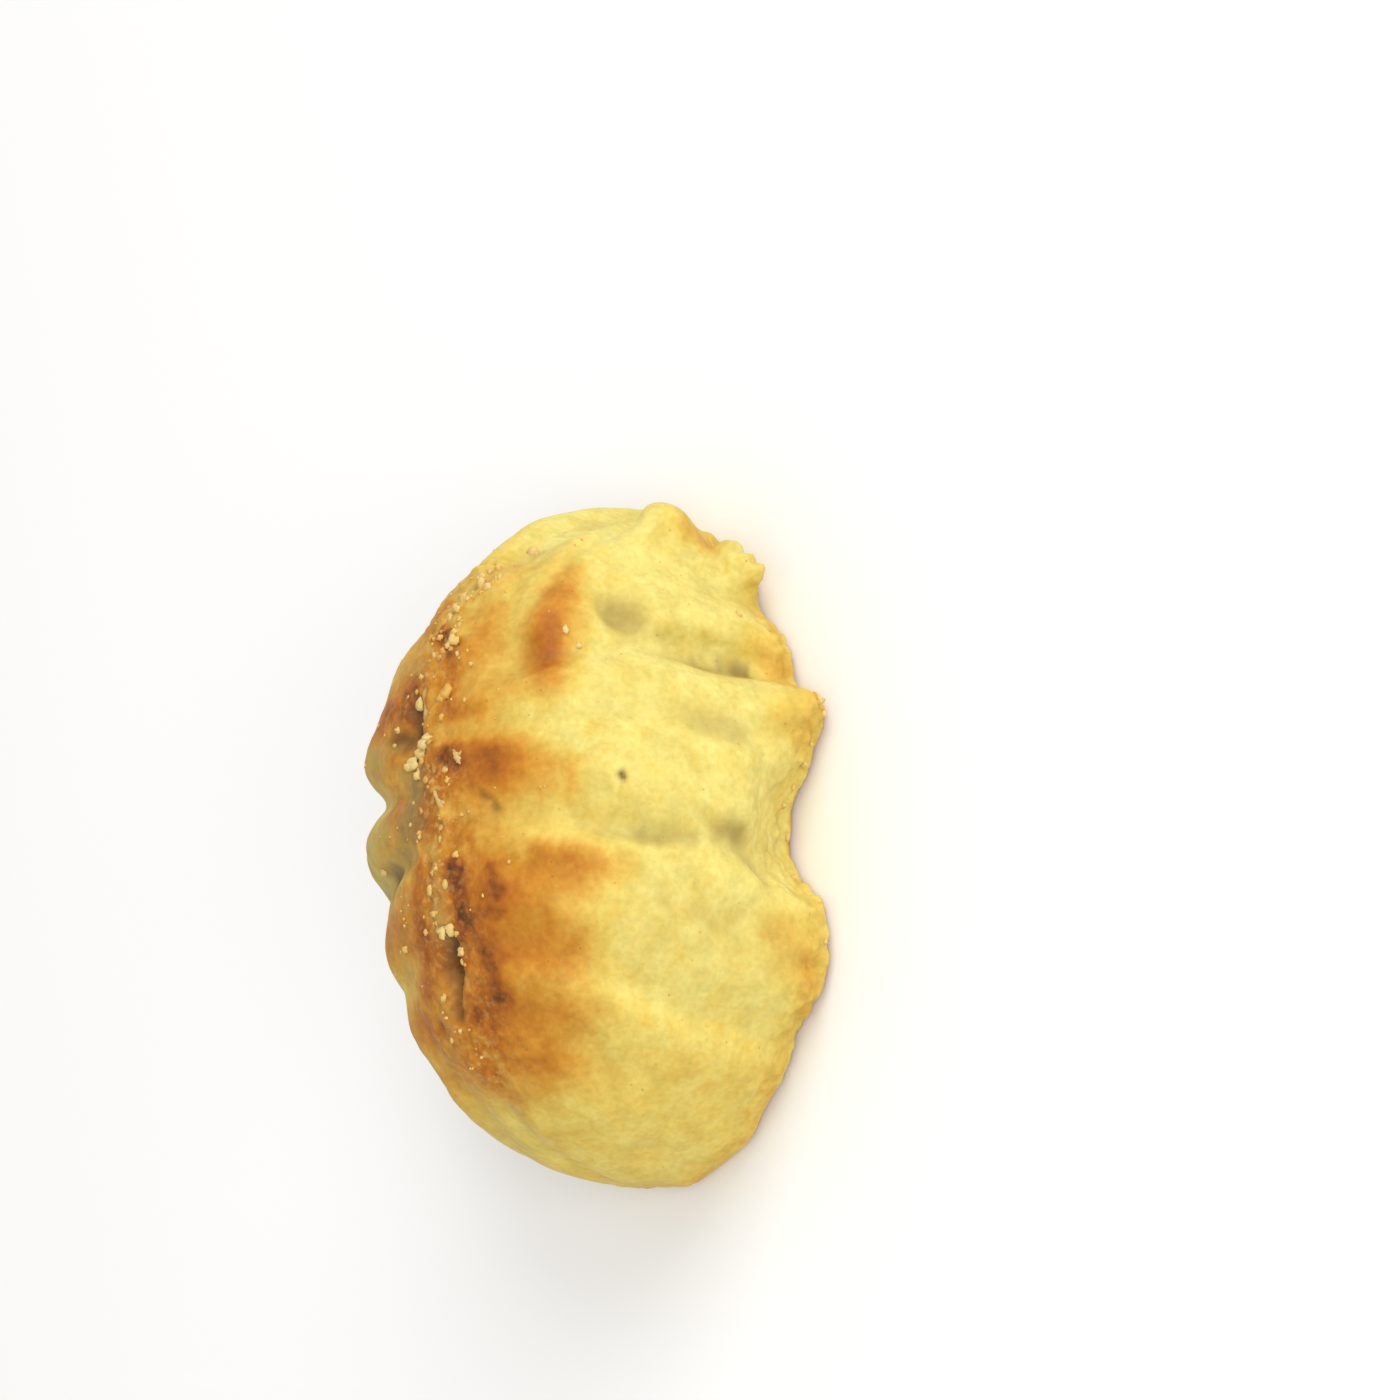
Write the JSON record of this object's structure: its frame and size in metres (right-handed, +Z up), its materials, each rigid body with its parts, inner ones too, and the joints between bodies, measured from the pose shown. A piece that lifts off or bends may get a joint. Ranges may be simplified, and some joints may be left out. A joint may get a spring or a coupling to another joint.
{
  "type": "maamoul cookie",
  "caption": "Uncut filled semolina pastry: an oval, ribbed dome with a crest along its length and a flat base, baked golden with browned rib tops.",
  "frame": {"origin": "centre of the oval's flat base, where its long and short axes cross", "axes": "+Z up from the flat base, +Y along the long axis of the oval, +X across it towards the long side with the crumbled lower edge"},
  "size_m": [0.0389, 0.0553, 0.0262],
  "materials": {
    "baked_pastry": "matt, sandy baked semolina dough: pale yellow, toasted orange-brown on the rib tops and along the crest"
  },
  "bodies": {
    "root": {"cookie": "baked_pastry"}
  },
  "joints": []
}
